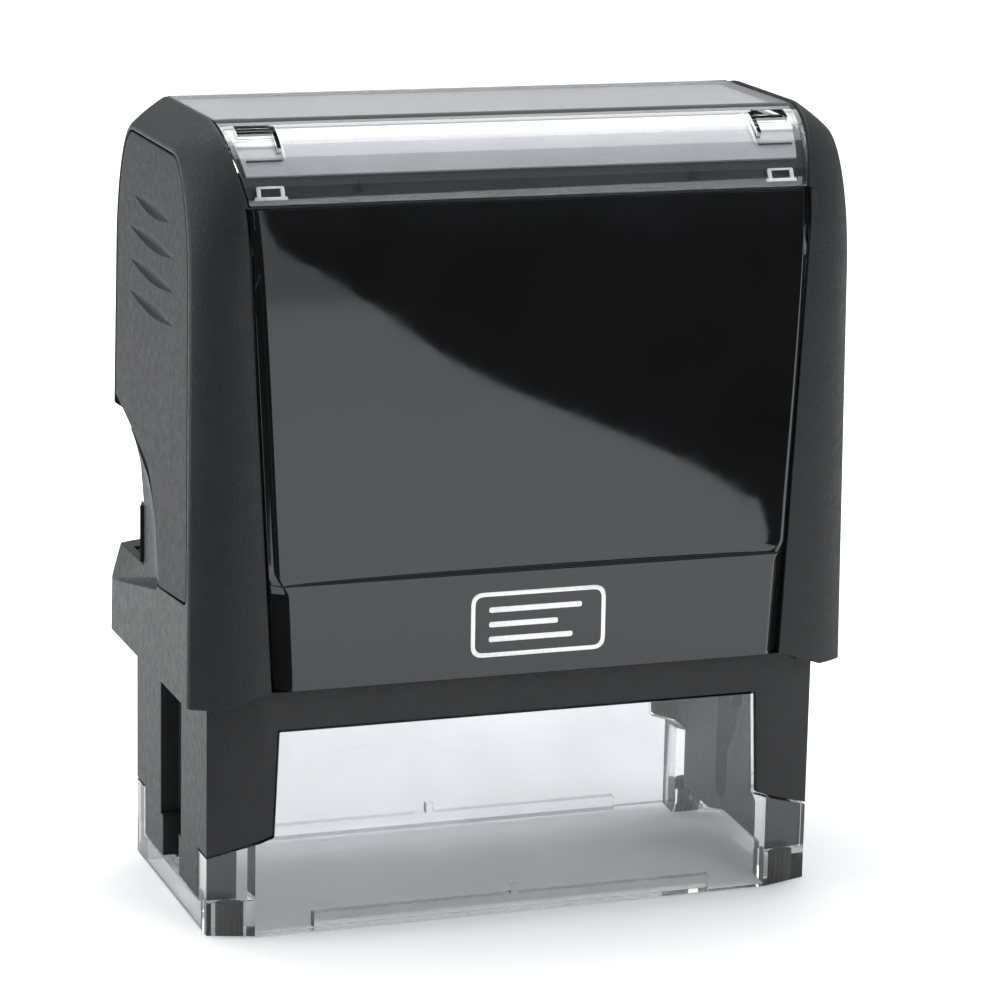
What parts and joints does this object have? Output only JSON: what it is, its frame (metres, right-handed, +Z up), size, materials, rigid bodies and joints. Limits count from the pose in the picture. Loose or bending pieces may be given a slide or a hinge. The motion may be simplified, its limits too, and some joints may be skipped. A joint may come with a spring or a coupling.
{
  "type": "self-inking stamp",
  "caption": "Self-inking desk stamp: a sprung hood over a clear-footed frame turns an inked text plate over onto the paper, with a pull-out ink cartridge and a lift-off index window.",
  "frame": {"origin": "on the paper plane under the middle of the base", "axes": "+Z up, against the stroke; +X along the long side, to the right seen from the front; the front looks along -Y"},
  "size_m": [0.0882, 0.0472, 0.1031],
  "materials": {
    "black_grain": "fine spark-eroded grain",
    "black_soft": "coarser grained grip surface",
    "black_gloss": "high gloss",
    "black_inner": "smooth satin moulding",
    "clear_plastic": "clear, faintly grey, polished",
    "card": "smooth light grey card",
    "steel": "bright drawn wire",
    "foot_rubber": "matt ribbed rubber",
    "print_rubber": "lasered rubber",
    "foam": "fine closed-cell foam",
    "inked_foam": "wet black ink pad"
  },
  "bodies": {
    "base": {"base_frame": "black_grain", "clear_foot": "clear_plastic", "rubber_foot_front_left": "foot_rubber", "rubber_foot_front_right": "foot_rubber", "rubber_foot_rear_left": "foot_rubber", "rubber_foot_rear_right": "foot_rubber", "return_spring": "steel"},
    "cartridge": {"ink_tray": "black_inner", "ink_pad": "inked_foam"},
    "hood": {"hood_shell": "black_grain", "front_panel": "black_gloss", "rear_panel": "black_gloss", "grip_insert_right": "black_soft", "grip_insert_left": "black_soft", "yoke": "black_inner"},
    "lock_button_left": {"lock_button_left": "black_inner"},
    "lock_button_right": {"lock_button_right": "black_inner"},
    "cover": {"index_cover": "clear_plastic", "index_card": "card"},
    "plate": {"plate_holder": "black_inner", "plate_axle": "steel", "foam_backing": "foam", "text_plate": "print_rubber"}
  },
  "joints": [
    {"name": "hood_press", "type": "slide", "parent": "base", "child": "hood", "axis": [0, 0, -1], "range_m": [0, 0.029], "stiffness_N_per_m": 400, "springref_m": -0.012, "deforming": ["return_spring"]},
    {"name": "plate_turn", "type": "hinge", "parent": "hood", "child": "plate", "pos_m": [0, 0, 0.0375], "axis": [-1, 0, 0], "range_deg": [0, 180]},
    {"name": "cartridge_slide", "type": "slide", "parent": "base", "child": "cartridge", "axis": [0, 1, 0], "range_m": [0, 0.042]},
    {"name": "cover_lift", "type": "slide", "parent": "hood", "child": "cover", "axis": [0, 0, 1], "range_m": [0, 0.02]},
    {"name": "lock_press_left", "type": "slide", "parent": "hood", "child": "lock_button_left", "axis": [1, 0, 0], "range_m": [0, 0.0008], "stiffness_N_per_m": 200},
    {"name": "lock_press_right", "type": "slide", "parent": "hood", "child": "lock_button_right", "axis": [-1, 0, 0], "range_m": [0, 0.0008], "stiffness_N_per_m": 200}
  ],
  "couplings": [
    {"joint": "plate_turn", "follows": "hood_press", "rad_per_m": 108.33}
  ]
}
